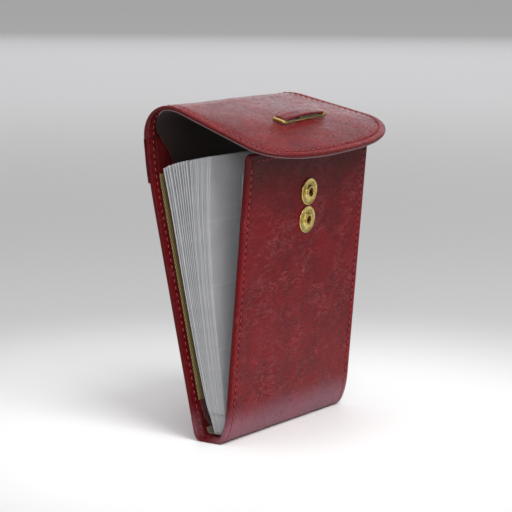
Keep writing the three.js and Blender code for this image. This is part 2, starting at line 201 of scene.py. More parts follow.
def fixed(piece, node, body):
    """The piece stands for one CAD node and rides on its body."""
    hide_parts(node)
    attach(piece, body)
    return piece


# ---- mesh helpers ----
def add_object(name, data):
    thing = bpy.data.objects.new(name, data)
    bpy.context.scene.collection.objects.link(thing)
    return thing


def mesh_piece(name, points, faces, maps):
    """A closed, smooth piece with the given corner maps (name: an array of u, v for each point)."""
    mesh = bpy.data.meshes.new(name)
    mesh.from_pydata([tuple(p) for p in metres(points)], [], faces)
    corners = np.zeros(len(mesh.loops), np.int64)
    mesh.loops.foreach_get("vertex_index", corners)
    for map_name, values in maps.items():
        layer = mesh.uv_layers.new(name=map_name)
        layer.data.foreach_set("uv", np.asarray(values, np.float32)[corners].ravel())
    work = bmesh.new()
    work.from_mesh(mesh)
    bmesh.ops.remove_doubles(work, verts=work.verts, dist=2e-6)
    bmesh.ops.dissolve_degenerate(work, edges=work.edges, dist=1e-7)
    bmesh.ops.recalc_face_normals(work, faces=work.faces)
    work.to_mesh(mesh)
    work.free()
    mesh.shade_smooth()
    return add_object(name, mesh)


TOUCHING = 1e-6  # points nearer than this are one point


def grid_faces(rows, columns, first=0, flip=False):
    faces = []
    for i in range(rows - 1):
        for j in range(columns - 1):
            a = first + i * columns + j
            quad = (a, a + columns, a + columns + 1, a + 1)
            faces.append(quad[::-1] if flip else quad)
    return faces


def tube_faces(rings, sides, first):
    """Faces of a tube through rings of points, with both its ends closed."""
    faces = []
    last = first + (rings - 1) * sides
    for start in range(first, last, sides):
        for k in range(sides):
            a, b = start + k, start + (k + 1) % sides
            faces.append((a, b, b + sides, a + sides))
    return faces + [tuple(reversed(range(first, first + sides))), tuple(range(last, last + sides))]


def shell(name, outer, inner, skin, seam=None):
    """A closed sheet between two grids of points, which may meet at its edges."""
    rows, columns = outer.shape[:2]
    count = rows * columns
    points = np.vstack([outer.reshape(-1, 3), inner.reshape(-1, 3)])
    faces = grid_faces(rows, columns) + grid_faces(rows, columns, count, flip=True)
    border = [*range(columns), *range(2 * columns - 1, count, columns),
              *range(count - 2, count - columns - 1, -1), *range(count - 2 * columns, 0, -columns)]
    for a, b in zip(border, border[1:] + border[:1]):
        faces.append((a, b, b + count, a + count))
    gap = np.linalg.norm(outer - inner, axis=-1).ravel()
    same = np.where(gap < TOUCHING)[0]
    twin = np.arange(2 * count)
    twin[same + count] = same
    faces = [tuple(dict.fromkeys(twin[list(face)])) for face in faces]
    faces = [face for face in faces if len(face) > 2]
    skin = np.asarray(skin, float).reshape(-1, 2)
    maps = {"Skin": np.vstack([skin, skin + [700.0, 0.0]])}
    if seam is not None:
        seam = np.asarray(seam, float).reshape(-1, 2)
        maps["Seam"] = np.vstack([seam, seam])
    return mesh_piece(name, points, faces, maps)


def rim(distance, radius):
    """How far a rounded rim draws a face in, at a distance from the edge."""
    into = np.clip(1.0 - distance / radius, 0.0, 1.0)
    return radius * (1.0 - np.sqrt(1.0 - into**2))


RIM_RADIUS = 0.95
ROUND = np.array([0.0, 0.076, 0.29, 0.62, 1.0])  # steps round a rim, as shares of its radius
BAND = np.array([1.9, 2.6, 3.0, 3.25, 3.5, 3.7, 3.9, 4.15, 4.4, 4.9, 5.6, 6.3])


def edge_steps(radius):
    """Distances from an edge: the side's middle, the steps round the rim, then those of the seam."""
    return np.r_[0.0, ROUND * radius, BAND]


# ---- stitched leather ----
def seam_relief(distance, run):
    """Depth of the stitch groove, its needle holes and the swell beside it."""
    groove = 0.2 * bump(distance, STITCH_INSET, 0.42)
    holes = 0.5 + 0.5 * np.cos(2 * np.pi * run / STITCH_PITCH)
    needle = 0.3 * bump(distance, STITCH_INSET, 0.34) * holes**6
    swell = 0.1 * bump(distance, 2.0, 0.8) + 0.08 * bump(distance, 6.0, 1.5)
    return groove + needle - swell


def thread(name, spots, radius=0.3, length=2.2, around=6, steps=7):
    """Stitches as one piece. spots are (point, along, normal) in millimetres."""
    points, faces, maps = [], [], []
    for number, (point, along, normal) in enumerate(spots):
        point, along, normal = (np.asarray(v, float) for v in (point, along, normal))
        along = along / np.linalg.norm(along)
        normal = normal - along * (normal @ along)
        normal = normal / np.linalg.norm(normal)
        side = np.cross(along, normal)
        slant = along + 0.07 * side
        first = len(points)
        for i in range(steps):
            t = 2.0 * i / (steps - 1) - 1.0
            centre = point + slant * (0.5 * length * t) + normal * (0.16 - 0.5 * t**4)
            girth = radius * (1.0 - 0.45 * t**6)
            for k in range(around):
                angle = 2 * math.pi * k / around
                spot = centre + girth * (math.cos(angle) * side + math.sin(angle) * normal)
                spot[2] = max(spot[2], 0.0)
                points.append(spot)
                maps.append((number * 4.0 + t, k))
        faces += tube_faces(steps, around, first)
    return mesh_piece(name, points, faces, {"Skin": np.array(maps)})


# ---- cover leather ----
def cover_stations():
    nose = ROUND * COVER / 2.0
    middle = np.arange(1.9, cover.length - 1.9, 0.875)
    return np.r_[nose, middle, (cover.length - nose)[::-1]]


def cover_half(s):
    """Half the cover's width: full, then rounded at the front cover's top corners."""
    into = np.maximum(0.0, s - (cover.length - CORNER))
    return HALF - CORNER + np.sqrt(np.maximum(CORNER**2 - into**2, 0.0))


def across(half, steps, middle):
    """Positions across a sheet: fine steps in from each edge, then even ones."""
    left = -half[:, None] + steps[None, :]
    share = np.linspace(0.0, 1.0, middle + 2)[1:-1]
    centre = left[:, -1:] * (1.0 - 2.0 * share)[None, :]
    return np.concatenate([left, centre, -left[:, ::-1]], 1)


def make_cover():
    stations = cover_stations()
    half = cover_half(stations)
    x = across(half, edge_steps(RIM_RADIUS), 26)
    s = over_row(stations, x)
    distance = half[:, None] - np.abs(x)
    end = np.minimum(s, cover.length - s)
    drawn = np.maximum(rim(distance, RIM_RADIUS), rim(end, COVER / 2))
    drawn[:, [0, -1]] = COVER / 2
    run = s - SPINE_S
    soft = smoothstep(0.0, 4.0, np.minimum(distance, end))
    relief = seam_relief(distance, run) * smoothstep(0.0, 3.0, end) * smoothstep(0.6, 1.6, distance)
    sway = 0.22 * waves(x, s, 31.0, 1) + 0.1 * waves(x, s, 12.0, 2)
    recess = smoothstep(BORDER - 0.35, BORDER - 0.1, distance) * smoothstep(0.9, 1.8, end)
    outer_depth = np.minimum(drawn + relief + sway * soft, COVER / 2)
    inner_depth = COVER - drawn - 0.8 * relief * (1.0 - recess) - recess * (LINING + 0.04)
    at_edge = drawn >= COVER / 2 - TOUCHING
    outer = cover.place(x, s, np.where(at_edge, COVER / 2, outer_depth))
    inner = cover.place(x, s, np.where(at_edge, COVER / 2, inner_depth))
    outer[..., 2] = np.maximum(outer[..., 2], 0.0)
    piece = shell("cover_leather", outer, inner, np.stack([x, s], -1), np.stack([distance, run], -1))
    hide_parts("back_cover_leather", "front_cover_leather", "back_cover_board",
                "front_cover_board")
    return bend_covers(piece)


def make_cover_lining():
    stations = np.r_[1.2, 1.35, np.arange(2.2, cover.length - 7.5, 1.4), cover.length - 7.2,
                     cover.length - 7.05]
    half = np.full(len(stations), HALF - BORDER + 0.02)
    x = across(half, np.array([0.0, 0.05, 0.18, 0.5, 2.0, 5.0]), 22)
    s = over_row(stations, x)
    distance = half[:, None] - np.abs(x)
    end = np.minimum(s - stations[0], stations[-1] - s)
    edge = 0.18 * (1.0 - smoothstep(0.0, 0.5, np.minimum(distance, end)))
    sway = 0.1 * waves(x, s, 22.0, 5) * smoothstep(0.0, 4.0, distance)
    face = cover.place(x, s, COVER - LINING)
    top = cover.place(x, s, COVER - 0.03 - edge + sway * 0.5)
    face[:, 0], face[:, -1] = top[:, 0], top[:, -1]
    piece = shell("cover_lining", face, top, np.stack([x, s], -1))
    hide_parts("back_cover_lining", "front_cover_lining")
    return bend_covers(piece)


ACROSS = (1.0, 0.0, 0.0)


def stitch_row(reach):
    """Where the stitches of a row across lie, as far as reach to each side."""
    count = int(2 * reach / STITCH_PITCH)
    return (np.arange(count + 1) - count / 2) * STITCH_PITCH


def cover_seam_spots(depth, outside):
    """The stitches of the two long seams, on the outer or the inner face."""
    spots = []
    start = TAIL_LENGTH + 2.0 if outside else 1.5
    first = math.ceil((start - SPINE_S) / STITCH_PITCH - 0.5)
    last = math.floor((cover.length - 6.0 - SPINE_S) / STITCH_PITCH)
    for step in range(first, last):
        s = SPINE_S + (step + 0.5) * STITCH_PITCH
        along = cover.along(s)
        normal = cover.inward(s) * (-1.0 if outside else 1.0)
        for side in (-1.0, 1.0):
            x = side * (float(cover_half(np.array(s))) - STITCH_INSET)
            point = cover.place(x, s, depth)
            spots.append((point, (0.0, *along), (0.0, *normal)))
    return spots


def make_cover_thread():
    s = cover.length - STITCH_INSET
    normal = (0.0, *-cover.inward(s))
    top = [(cover.place(x, s, 0.06), ACROSS, normal) for x in stitch_row(HALF - 9.0)]
    spots = cover_seam_spots(0.12, True) + cover_seam_spots(COVER - 0.26, False) + top
    return bend_covers(thread("cover_thread", spots))


# ---- flap ----
FLAP_FOOT = np.array([BACK_TOP[0] + 1.25, BACK_TOP[1] + 0.8])
ARCH_END = np.array([19.0, 163.8])
ARCH_TWIST = 0.1
FLAP_SLOPE, FLAP_TWIST = 16.0, 4.5
ARCH_RISE, ARCH_RUN = 11.5, 14.0
SLOPE_LENGTH, TIP_LENGTH = 40.0, 27.0
TIP_DROOP, DROOP_TWIST, CROWN = 3.0, 2.4, 2.5
BADGE_ALONG = 1.83


def flap_line(x, along):
    """A point (y, z) of the flap's outer face: along is 0-1 over the arch, 1-2 down the slope, 2-3
    over the tip."""
    x, along = np.broadcast_arrays(np.asarray(x, float), np.asarray(along, float))
    side = x / HALF
    slope = np.radians(FLAP_SLOPE - FLAP_TWIST * side)
    down = np.stack([-np.cos(slope), -np.sin(slope)], -1)
    end = np.stack([np.full_like(side, ARCH_END[0]), ARCH_END[1] - ARCH_TWIST * side], -1)
    t = np.clip(along, 0.0, 1.0)[..., None]
    rise = FLAP_FOOT + [0.0, ARCH_RISE]
    run = end - down * ARCH_RUN
    arch = cubic(FLAP_FOOT, rise, run, end, t)
    sloped = np.clip(along - 1.0, 0.0, 1.0)
    tipped = np.maximum(along - 2.0, 0.0)
    beyond = down * (SLOPE_LENGTH * sloped + TIP_LENGTH * tipped)[..., None]
    lift = CROWN * (1 - side**2) * np.sin(sloped * np.pi / 2)
    lift -= (TIP_DROOP + DROOP_TWIST * side) * tipped**2
    point = arch + beyond
    point[..., 1] += lift
    return point


ARCH_SHARES = np.linspace(0.0, 1.0, 400)
ARCH_RUNS = lengths_along(flap_line(0.0, ARCH_SHARES))
ARCH = ARCH_RUNS[-1]  # length of the arch
FLAP_RUNS = np.r_[ARCH_RUNS, ARCH + SLOPE_LENGTH, ARCH + SLOPE_LENGTH + 2 * TIP_LENGTH]
FLAP_SHARES = np.r_[ARCH_SHARES, 2.0, 4.0]  # flap_line's own measure at those runs
TAIL_GAP = 0.8  # from the back cover's top edge up to the arch's foot
FLAP_START = -TAIL_GAP - TAIL_LENGTH
TAIL_OFFSET = TAIL_LEATHER + 0.05


def tail_offset(a):
    """How far the flap's outer face stands off the back cover's, from its tail to its foot."""
    return TAIL_OFFSET + (FLAP_FOOT[0] - BACK_TOP[0] - TAIL_OFFSET) * smoothstep(-9.0, 0.0, a)


def flap_place(x, a):
    """The flap's outer face at x across and a along, from its tail (a below 0) to its tip."""
    x, a = np.broadcast_arrays(np.asarray(x, float), np.asarray(a, float))
    body = flap_line(x, np.interp(a, FLAP_RUNS, FLAP_SHARES))
    s = np.clip(-TAIL_GAP - a, 0.0, None)
    tail = cover.at(s) - cover.inward(s) * tail_offset(a)[..., None]
    tail[..., 1] += np.clip(a + TAIL_GAP, 0.0, None)
    flat = np.where((a < 0.0)[..., None], tail, body)
    return np.stack([x, flat[..., 0], flat[..., 1]], -1)


def flap_normal(x, a):
    step = 0.3
    over = flap_place(x, a + step) - flap_place(x, a - step)
    wide = flap_place(x + step, a) - flap_place(x - step, a)
    normal = np.cross(over, wide)
    normal /= np.linalg.norm(normal, axis=-1, keepdims=True)
    return normal


def flap_boundary(start):
    """The left half of the flap's edge in flat (x, a), from its tail to the middle of its tip."""
    phi = np.linspace(0.0, np.pi / 2, 400)[1:]
    tip_x = -HALF * np.cos(phi) ** (2 / 2.5)
    tip_a = ARCH + SLOPE_LENGTH + TIP_LENGTH * np.sin(phi) ** (2 / 2.2)
    side = np.array([[-HALF, start], [-HALF, ARCH + SLOPE_LENGTH]])
    return np.vstack([side, np.stack([tip_x, tip_a], -1)])


def flap_grid(start, insets, middle, nose=0.0, step=0.875):
    """Rows that run from the left edge to the right one, each inwards from the edge by insets(a)."""
    edge = Outline(flap_boundary(start), step=0.2)
    runs = np.r_[ROUND * nose, np.arange(max(nose, 0.0) + step, edge.length, step), edge.length]
    spots = edge.at(runs)
    ahead = edge.along(runs, 0.3)
    ahead[-1] = (1.0, 0.0)
    inward = np.stack([ahead[:, 1], -ahead[:, 0]], -1)
    steps = insets(spots[:, 1])
    left = spots[:, None, :] + inward[:, None, :] * steps[..., None]
    left[..., 0] = np.minimum(left[..., 0], 0.0)
    right = left[:, ::-1] * [-1.0, 1.0]
    share = np.linspace(0.0, 1.0, middle + 2)[1:-1][None, :, None]
    centre = left[:, -1:] * (1.0 - share) + right[:, :1] * share
    flat = np.concatenate([left, centre, right], 1)
    inner = np.repeat(steps[:, -1:], middle, 1) + 60.0 * (0.5 - np.abs(share[..., 0] - 0.5))
    distance = np.concatenate([steps, inner, steps[:, ::-1]], 1)
    return flat[..., 0], flat[..., 1], distance, over_row(runs - TAIL_LENGTH, flat)


FOOT_LAP = 2.2  # the foot's leather laps this far over the cover's edge


def flap_thickness(a):
    """Leather thickness: the pared tail, the thick foot over the cover's top edge, then the flap."""
    foot = FLAP_FOOT[0] - BACK_TOP[0] + COVER + 0.12
    over = foot + (FLAP_LEATHER - foot) * smoothstep(-1.0, 15.0, a)
    return np.where(a < -FOOT_LAP, TAIL_LEATHER, over)


def make_flap():
    def insets(a):
        radius = np.minimum(flap_thickness(a) / 2, RIM_RADIUS)
        return np.array([edge_steps(r) for r in radius])

    x, a, distance, run = flap_grid(FLAP_START, insets, 24, nose=TAIL_LEATHER / 2)
    thickness = flap_thickness(a)
    radius = np.minimum(thickness / 2, RIM_RADIUS)
    end = run + TAIL_LENGTH
    drawn = np.maximum(rim(distance, radius), rim(end, TAIL_LEATHER / 2))
    drawn = np.minimum(drawn, thickness / 2)
    drawn[:, [0, -1]] = thickness[:, [0, -1]] / 2
    soft = smoothstep(0.0, 4.0, np.minimum(distance, end))
    relief = seam_relief(distance, run) * smoothstep(0.6, 1.6, distance)
    tail_seam = 0.16 * bump(end, 3.0, 0.4) * smoothstep(5.0, 7.0, distance)
    crease = 0.1 * bump(distance, 5.6, 0.28) * smoothstep(4.0, 12.0, a)
    sway = 0.3 * waves(x, a, 27.0, 11) + 0.12 * waves(x, a, 11.0, 12)
    outer_depth = np.minimum(drawn + relief + tail_seam + crease + sway * soft, thickness * 0.7)
    at_edge = drawn >= thickness / 2 - TOUCHING
    outer_depth = np.where(at_edge, thickness / 2, outer_depth)
    inner_depth = np.where(at_edge, thickness / 2, thickness - drawn)
    outer, inner = under_flap(x, a, outer_depth), under_flap(x, a, inner_depth)
    piece = shell("flap_leather_skin", outer, inner, np.stack([x, a], -1),
                  np.stack([distance, run], -1))
    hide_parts("flap_leather", "flap_tail", "flap_core")
    return bend_flap(piece)


LINING_START = -17.0  # the lining runs down inside the back cover to here


def lining_inset(a):
    """How far the lining stops short of the edge: its lower corners are cut back, and it runs out to
    the rim over the arch."""
    return 5.6 + 13.0 * (1.0 - smoothstep(LINING_START, 6.0, a)) - 5.2 * smoothstep(6.0, 28.0, a)


def under_flap(x, a, depth):
    """Points at a depth under the flap's outer face."""
    return flap_place(x, a) - flap_normal(x, a) * depth[..., None]


def make_flap_lining():
    def insets(a):
        steps = np.array([0.0, 0.06, 0.2, 0.5, 1.5, 3.5])
        return lining_inset(a)[:, None] + steps[None, :]

    x, a, distance, run = flap_grid(LINING_START, insets, 22, step=1.3)
    depth = np.where(a < -FOOT_LAP, tail_offset(a) + COVER + 0.08, flap_thickness(a)) + 0.04
    into = distance - lining_inset(a)
    edge = 0.2 * (1.0 - smoothstep(0.0, 0.5, into))
    puff = 0.12 * waves(x, a, 19.0, 21) * smoothstep(0.0, 5.0, into)
    top, low = under_flap(x, a, depth), under_flap(x, a, depth + FLAP_LINING - edge + puff)
    top[:, 0], top[:, -1] = low[:, 0], low[:, -1]
    # Distance for the lining's painted edge highlight, pushed 3 mm in near the foot so that the highlight
    # runs out there.
    highlight_distance = into + 3.0 * (1.0 - smoothstep(4.0, 14.0, a))
    piece = shell("flap_lining_cloth", top, low, np.stack([x, a], -1), np.stack([highlight_distance, run], -1))
    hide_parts("flap_lining")
    return bend_flap(piece)


def make_flap_thread():
    edge = Outline(flap_boundary(FLAP_START), step=0.2)
    spots = []
    first = TAIL_LENGTH % STITCH_PITCH + STITCH_PITCH / 2
    for run in np.arange(first, edge.length - 0.3, STITCH_PITCH):
        ahead = edge.along(run)
        spot = edge.at(run) + np.array([ahead[1], -ahead[0]]) * STITCH_INSET
        for side in (1.0, -1.0):
            x, a = spot[0] * side, spot[1]
            normal = flap_normal(x, a)
            reach = 0.5
            along = flap_place(x + side * ahead[0] * reach, a + ahead[1] * reach) - flap_place(x, a)
            spots.append((flap_place(x, a) - normal * 0.1, along, normal))
            if -FOOT_LAP < a < 14.0:
                inside = flap_place(x, a) - normal * (float(flap_thickness(a)) - 0.1)
                spots.append((inside, along, -normal))
    a = FLAP_START + 3.0
    for x in stitch_row(HALF - 7.0):
        normal = flap_normal(x, a)
        spots.append((flap_place(x, a) - normal * 0.06, ACROSS, normal))
    return bend_flap(thread("flap_thread", spots))


# ---- leaves ----
LEAVES = 23
BACK_BUNDLE = 9
LEAF_LINE_Z = 4.5
FIRST_LEAF_Y = 3.0
LEAF_PITCH = 0.3
LEAF_HALF = 49.0
FILM = 9.5  # the lowest part of a leaf, which bends
FILM_HALF = 0.14  # half a leaf's thickness
POCKET_PUFF = 0.12  # how far a pocket swells
LEAF_HEIGHT = 137.4
LEAF_STEP_DOWN, LAST_STEP_DOWN = 3.2, 1.2
FRONT_SHEET_HEIGHT, FRONT_SHEET_LEAN = 130.0, -4.4
SETTLE = 1.9  # how far the rearmost leaf sags to the back, low down
POCKET_ROWS, POCKET_COLUMNS = 4, 3
POCKET_STEPS = np.array([0.0, 0.02, 0.06, 0.16, 0.32, 0.5, 0.68, 0.84, 0.94, 0.98])


def leaf_lean(index):
    if index < BACK_BUNDLE:
        return 13.5 + (8.4 - 13.5) * index / (BACK_BUNDLE - 1)
    return 7.6 + (4.3 - 7.6) * (index - BACK_BUNDLE) / (LEAVES - 1 - BACK_BUNDLE)


def leaf_shape(index):
    """How far a leaf bows to the back at mid height, and its middle to the front at the top."""
    share = index / (LEAVES - 1)
    if index < BACK_BUNDLE:
        return 0.3 + 1.5 * share, 0.8 * share
    return 1.8 + 1.8 * (share - 0.4) / 0.6, 0.6 + 2.9 * (share - 0.4) / 0.6


def pocket_shares(count):
    steps = [(k + POCKET_STEPS) / count for k in range(count)]
    return np.r_[np.concatenate(steps), 1.0]


def make_leaf(name, index, lean, height, bow, bulge, puff):
    chance = random.Random(100 + index)
    columns = pocket_shares(POCKET_COLUMNS)
    rows = pocket_shares(POCKET_ROWS)
    film_rows = np.linspace(0.0, 1.0, 8)[:-1] * FILM
    w = np.r_[film_rows, FILM + rows * (height - FILM)]
    inside = np.r_[np.full(len(film_rows), -1.0), rows]
    left = -LEAF_HALF + chance.uniform(-0.3, 0.3)
    right = LEAF_HALF + chance.uniform(-0.3, 0.3)
    x = np.repeat((left + (right - left) * columns)[None, :], len(w), 0)
    u = np.repeat(columns[None, :], len(w), 0)
    w, v = over_row(w, x), over_row(inside, x)
    t = w / height
    curl = bow * np.sin(np.pi * t**1.35) - bulge * t**1.3 * (1.0 - ((x + 4.0) / LEAF_HALF) ** 2)
    curl = curl + 0.25 * waves(x, w, 40.0, 30 + index) * t
    rear = max(0.0, 1.0 - index / (LEAVES - 1))
    curl = curl + SETTLE * rear * smoothstep(0.0, 0.13, t) * (1.0 - smoothstep(0.25, 0.95, t))
    swell = np.sqrt(np.abs(np.sin(np.pi * u * POCKET_COLUMNS) * np.sin(np.pi * v * POCKET_ROWS)))
    swell = np.where(v < 0.0, 0.0, swell) * puff * t
    near = np.minimum(np.minimum(x - left, right - x), height - w)
    half = FILM_HALF * np.sqrt(np.clip(near / 0.15, 0.0, 1.0)) + swell
    angle = math.radians(lean)
    base = np.array([FIRST_LEAF_Y - LEAF_PITCH * index, LEAF_LINE_Z])
    over = np.array([math.sin(angle), math.cos(angle)])
    back = np.array([math.cos(angle), -math.sin(angle)])
    drop = 1.2 * (1.0 - smoothstep(0.0, FILM, w))

    def place(offset):
        y = base[0] + over[0] * w + back[0] * (curl + offset)
        z = base[1] + over[1] * w + back[1] * (curl + offset) - drop
        return np.stack([x, y, z], -1)

    skin = np.stack([u * POCKET_COLUMNS, np.where(v < 0, -0.2, v * POCKET_ROWS)], -1)
    piece = shell(name, place(-half), place(half), skin)
    node = name.replace("_film", "")
    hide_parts(node)
    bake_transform(piece)
    return piece


def make_leaves():
    pieces = []
    for index in range(LEAVES):
        bow, bulge = leaf_shape(index)
        rear = 1 - index / (LEAVES - 1)
        height = LEAF_HEIGHT - LEAF_STEP_DOWN * rear - LAST_STEP_DOWN * rear**10
        name = f"leaf_{index + 1:02d}_film"
        pieces.append(make_leaf(name, index, leaf_lean(index), height, bow, bulge, POCKET_PUFF))
    front_sheet = make_leaf("insert_front_sheet_film", LEAVES, FRONT_SHEET_LEAN, FRONT_SHEET_HEIGHT,
                            -0.6, -0.5, 0.0)
    return pieces + [front_sheet]


# ---- insert: binding, tape, pocket and back sheet ----
def strip(name, line, start, end, half, depth, thickness, step=1.2, ripple=0.0, seed=0):
    """A strip of cloth or film that follows a line at a depth."""
    stations = np.r_[start, start + 0.08, np.arange(start + step, end - 0.5, step), end - 0.08, end]
    edge = np.full(len(stations), float(half))
    x = across(edge, np.array([0.0, 0.05, 0.15, 0.6, 2.0]), 26)
    s = over_row(stations, x)
    wander = ripple * waves(s, np.sign(x) * 9.0, 3.1, seed)
    x = x + wander * smoothstep(0.6 * half, half, np.abs(x))
    near = np.minimum(edge[:, None] - np.abs(np.clip(x, -half, half)), np.minimum(s - start, end - s))
    rounding = 0.5 * thickness * (1.0 - smoothstep(0.0, 0.2, near))
    sway = 0.08 * waves(x, s, 15.0, seed + 1) * smoothstep(0.0, 3.0, near)
    outer = line.place(x, s, depth + rounding + sway)
    inner = line.place(x, s, depth + thickness - rounding + sway)
    inner[:, 0], inner[:, -1] = outer[:, 0], outer[:, -1]
    return shell(name, outer, inner, np.stack([x, s], -1))


CLOTH = 0.25  # thickness of the tape and of the pocket's twill
TAPE_HALF = 46.5
POCKET_HALF, POCKET_LENGTH = 49.5, 114.0
BACK_SHEET_HALF, BACK_SHEET_FLAT = 48.0, 90.0


def make_insert():
    spine_top = cover.nearest(SPINE_END)
    tape_start, tape_end = spine_top + 9.5, SPINE_S - 1.5
    tape = strip("spine_tape_cloth", cover, tape_start, tape_end, TAPE_HALF, COVER + 0.1, CLOTH,
                 step=0.8, ripple=0.35, seed=50)
    fixed(tape, "spine_tape", "back_cover")
    # This length is that of the cover's outer line. The tape, inside the bend, is only about 13 mm long.
    pocket_end = spine_top - 5.0
    pocket = strip("back_pocket_cloth", cover, pocket_end - POCKET_LENGTH, pocket_end, POCKET_HALF,
                   COVER + 0.3, CLOTH, ripple=0.12, seed=60)
    fixed(pocket, "back_pocket", "back_cover")
    join_s = spine_top - 3.0
    join = cover.at(join_s) + cover.inward(join_s) * (COVER + 0.05)
    foot = np.array([3.6, 3.1])
    bend = bezier(foot, foot + [2.0, 2.0], join - BEND_HANDLE * BACK_ALONG, join, 40)
    line = Outline(np.vstack([bend, [join + BACK_SHEET_FLAT * BACK_ALONG]]))
    sheet = strip("insert_back_sheet_film", line, 0.0, line.length, BACK_SHEET_HALF, -0.25, 0.2, seed=70)
    base = Outline([(3.6, 2.75), (-2.1, 2.75)])
    weld = strip("insert_binding_weld", base, 0.0, base.length, LEAF_HALF, 0.0, 1.1, step=0.5, seed=80)
    return (tape, pocket, fixed(sheet, "insert_back_sheet", "back_cover"),
            fixed(weld, "insert_binding", "back_cover"))


# ---- turned brass ----
CUT = 0.22  # how much of a side each corner cut takes


def seat_of(node, normal, low, high):
    """Where a turned piece sits: the foot of its axis, from its CAD box and its extent along it."""
    lowest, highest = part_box(node)
    centre = (lowest + highest) / 2.0
    return centre - Vector(normal) * ((low + high) / 2.0) * MM


def lathe(name, section, seat, normal, segments, ridges=None):
    """A solid of revolution on an axis, from (radius, height) points that close on themselves."""
    turn = Vector(normal).normalized().to_track_quat("Z", "Y").to_matrix()
    origin = Vector(seat) / MM - Vector((0.0, SHIFT_Y, 0.0))
    points, faces, maps = [], [], []
    for i, (radius, height) in enumerate(section):
        first, after = i * segments, (i + 1) % len(section) * segments
        for k in range(segments):
            angle = 2 * math.pi * k / segments
            lift = ridges(radius, k) if ridges else 0.0
            spot = Vector((radius * math.cos(angle), radius * math.sin(angle), height + lift))
            points.append(tuple(origin + turn @ spot))
            maps.append((radius, 30.0 * k / segments))
            n = (k + 1) % segments
            faces.append((first + k, first + n, after + n, after + k))
    return mesh_piece(name, points, faces, {"Skin": np.array(maps)})


def softened(section):
    """Cuts the section's corners twice, which turns them into small fillets."""
    points = [np.array(p, float) for p in section]
    for _ in range(2):
        sides = zip(points, points[1:] + points[:1])
        points = [a + share * (b - a) for a, b in sides for share in (CUT, 1.0 - CUT)]
    return [tuple(p) for p in points]


PANEL_NORMAL = (0.0, -math.cos(FRONT_LEAN), -math.sin(FRONT_LEAN))
STUD_RADIUS = 6.95


def stud_ridges(radius, k):
    """Fine radial ribs over the stud's dish."""
    within = smoothstep(3.3, 3.9, radius) * (1.0 - smoothstep(5.8, 6.2, radius))
    return 0.08 * float(within) * (1.0 if k % 4 < 2 else -1.0)


def make_studs():
    section = softened([
        (2.2, 0.1), (STUD_RADIUS - 0.3, 0.1), (STUD_RADIUS, 0.35), (STUD_RADIUS - 0.25, 0.8),
        (STUD_RADIUS - 0.8, 0.8), (STUD_RADIUS - 1.15, 0.5), (5.0, 0.45), (3.9, 0.45), (3.45, 0.7),
        (3.1, 1.1), (3.35, 1.6), (2.95, 1.85), (2.35, 1.85), (2.1, 1.6), (2.2, 0.9),
    ])
    back = -(COVER + 0.1)
    rivet = softened([
        (1.3, 1.45), (1.3, back - 0.35), (1.7, back - 0.5), (4.2, back - 0.4), (4.5, back - 0.2),
        (4.4, back), (1.95, back), (1.95, 1.3), (1.75, 1.5), (1.5, 1.5),
    ])
    pieces = []
    for node in ("upper_stud", "lower_stud"):
        seat = seat_of(node, PANEL_NORMAL, 0.1, 1.85)
        cap = lathe(f"{node}_cap", section, seat, PANEL_NORMAL, 192, stud_ridges)
        post = lathe(f"{node}_post", rivet, seat, PANEL_NORMAL, 64)
        pieces += [fixed(cap, node, "front_cover"), fixed(post, f"{node}_rivet", "front_cover")]
    return pieces


def badge_frame_axes():
    """The badge's seat on the flap: its foot, normal, and its long and short directions."""
    a = ARCH + SLOPE_LENGTH * (BADGE_ALONG - 1.0)
    spot = flap_place(FASTENER_X, a)
    normal = flap_normal(FASTENER_X, a)
    long = flap_place(FASTENER_X + 15.0, a) - flap_place(FASTENER_X - 15.0, a)
    long = long / np.linalg.norm(long)
    short = np.cross(normal, long)
    return spot, normal, long, short


BADGE_SPOT, BADGE_NORMAL, BADGE_LONG, BADGE_SHORT = badge_frame_axes()


def on_badge(u, v, h):
    u, v, h = np.broadcast_arrays(u, v, h)
    u, v, h = (w[..., None] for w in (u, v, h))
    return BADGE_SPOT + u * BADGE_LONG + v * BADGE_SHORT + h * BADGE_NORMAL


def make_socket():
    top = -(FLAP_LEATHER + FLAP_LINING + 0.35)
    section = softened([
        (1.4, top), (1.4, top - 0.5), (3.5, top - 0.5), (3.5, top - 2.1), (4.3, top - 2.5),
        (5.0, top - 2.3), (5.2, top - 0.7), (6.2, top - 0.4), (6.2, top),
    ])
    cap = softened([
        (0.001, 0.9), (1.6, 0.75), (2.2, 0.45), (2.2, 0.25), (1.15, 0.25), (1.15, top - 0.7),
        (2.3, top - 0.8), (2.3, top - 1.1), (0.001, top - 1.1),
    ])
    seat = metres(BADGE_SPOT)
    socket = lathe("press_socket_ring", section, seat, BADGE_NORMAL, 96)
    pin = lathe("socket_rivet_pin", cap, seat, BADGE_NORMAL, 48)
    return fixed(socket, "press_socket", "flap"), fixed(pin, "socket_rivet", "flap")


BADGE_LENGTH, BADGE_WIDTH, BADGE_RAIL, BADGE_CLAMP = 38.5, 7.4, 1.1, 3.0
CLEAR_OF_SEAM = 20.0  # a seam distance with no stitch line near it
BAR_SIDES = 16  # faces round a bar of the badge
BADGE_STRIP = 3.45  # half the width of the badge's leather strip
BADGE_LEATHER = 1.4  # its thickness
STRIP_SHARES = np.array([0.17, 0.5, 0.82, 0.93, 0.98, 1.0])


def add_bar(points, faces, stations, widths, heights, centre, low, corner=0.3):
    """Adds a bar along the badge, with rounded corners and closed ends."""
    turns = np.arange(BAR_SIDES) * 2 * np.pi / BAR_SIDES
    faces += tube_faces(len(stations), BAR_SIDES, len(points))
    for u, wide, tall in zip(stations, widths, heights):
        v = np.sign(np.cos(turns)) * (np.abs(np.cos(turns)) ** corner) * wide / 2
        h = np.sign(np.sin(turns)) * (np.abs(np.sin(turns)) ** corner) * tall / 2
        points += list(on_badge(u, centre + v, low + tall / 2 + h))


